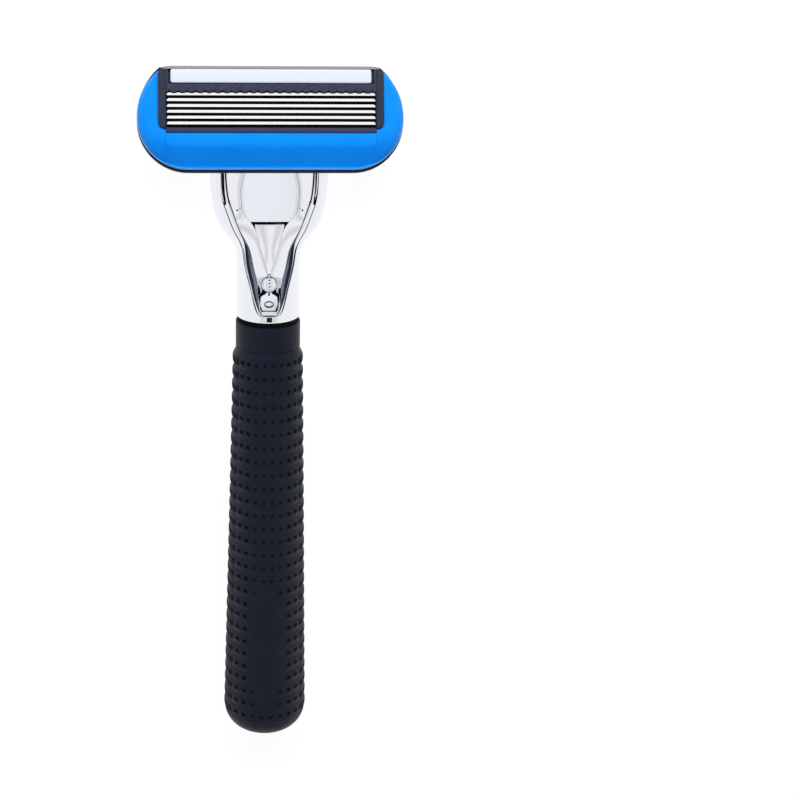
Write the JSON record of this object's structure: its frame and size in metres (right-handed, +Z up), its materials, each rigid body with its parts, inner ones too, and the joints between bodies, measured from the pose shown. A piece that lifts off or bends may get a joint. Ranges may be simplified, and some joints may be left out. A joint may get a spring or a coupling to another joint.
{
  "type": "cartridge razor",
  "caption": "Cartridge razor lying on its back: studded rubber grip, plated yoke neck with a release button, and a pivoting multi-blade head in a soft rubber frame.",
  "frame": {"origin": "on the table under the middle of the razor's box, which lies on its back with the blades up", "axes": "+X along the blades, +Y along the handle towards the head, +Z up from the table"},
  "size_m": [0.044, 0.1242, 0.0146],
  "materials": {
    "chrome": "bright plated, mirror polished",
    "grip_rubber": "matt studded rubber",
    "black_rubber": "matt black",
    "core_plastic": "moulded",
    "dark_plastic": "fine moulded grain",
    "housing_plastic": "fine moulded grain",
    "clip_plastic": "satin",
    "blue_rubber": "satin soft-touch rubber",
    "strip_polymer": "waxy, slightly translucent",
    "blade_steel": "ground and polished",
    "spring_steel": "bright wire",
    "white_plastic": "moulded"
  },
  "bodies": {
    "handle": {"neck_shell": "chrome", "front_bezel": "chrome", "dock_plate": "chrome", "latch_tab": "dark_plastic", "seal_ring": "black_rubber", "grip_collar": "grip_rubber", "grip_core": "core_plastic", "grip_sleeve": "grip_rubber", "button_spring": "spring_steel", "plunger_spring": "spring_steel"},
    "button": {"release_button": "chrome"},
    "plunger": {"plunger": "white_plastic"},
    "dock": {"connector": "dark_plastic", "pivot_pin": "spring_steel"},
    "cartridge": {"back_cover": "dark_plastic", "cartridge_housing": "housing_plastic", "skin_guard": "blue_rubber", "cap_frame": "housing_plastic", "side_clip_left": "clip_plastic", "side_clip_right": "clip_plastic", "lubricating_strip": "strip_polymer", "blade_1": "blade_steel", "blade_2": "blade_steel", "blade_3": "blade_steel", "blade_4": "blade_steel", "blade_5": "blade_steel", "blade_6": "blade_steel", "blade_support_1": "blade_steel", "blade_support_2": "blade_steel", "blade_support_3": "blade_steel", "blade_support_4": "blade_steel", "blade_support_5": "blade_steel", "blade_support_6": "blade_steel"}
  },
  "joints": [
    {"name": "release_button_slide", "type": "slide", "parent": "handle", "child": "button", "axis": [0, 0.9975, -0.07], "range_m": [0, 0.0025], "stiffness_N_per_m": 300, "springref_m": -0.002, "deforming": ["button_spring"]},
    {"name": "cartridge_dock_slide", "type": "slide", "parent": "handle", "child": "dock", "axis": [0, 0.9975, -0.07], "range_m": [0, 0.012]},
    {"name": "cartridge_pivot", "type": "hinge", "parent": "dock", "child": "cartridge", "pos_m": [0, 0.04907, 0.00675], "axis": [-1, 0, 0], "range_deg": [0, 40], "stiffness_Nm_per_rad": 0.0043, "springref_deg": -50.42},
    {"name": "plunger_slide", "type": "slide", "parent": "handle", "child": "plunger", "axis": [0, -0.9975, 0.07], "range_m": [0, 0.0027], "deforming": ["plunger_spring"]}
  ],
  "couplings": [
    {"joint": "plunger_slide", "follows": "cartridge_pivot", "m_per_rad": 0.0038}
  ]
}
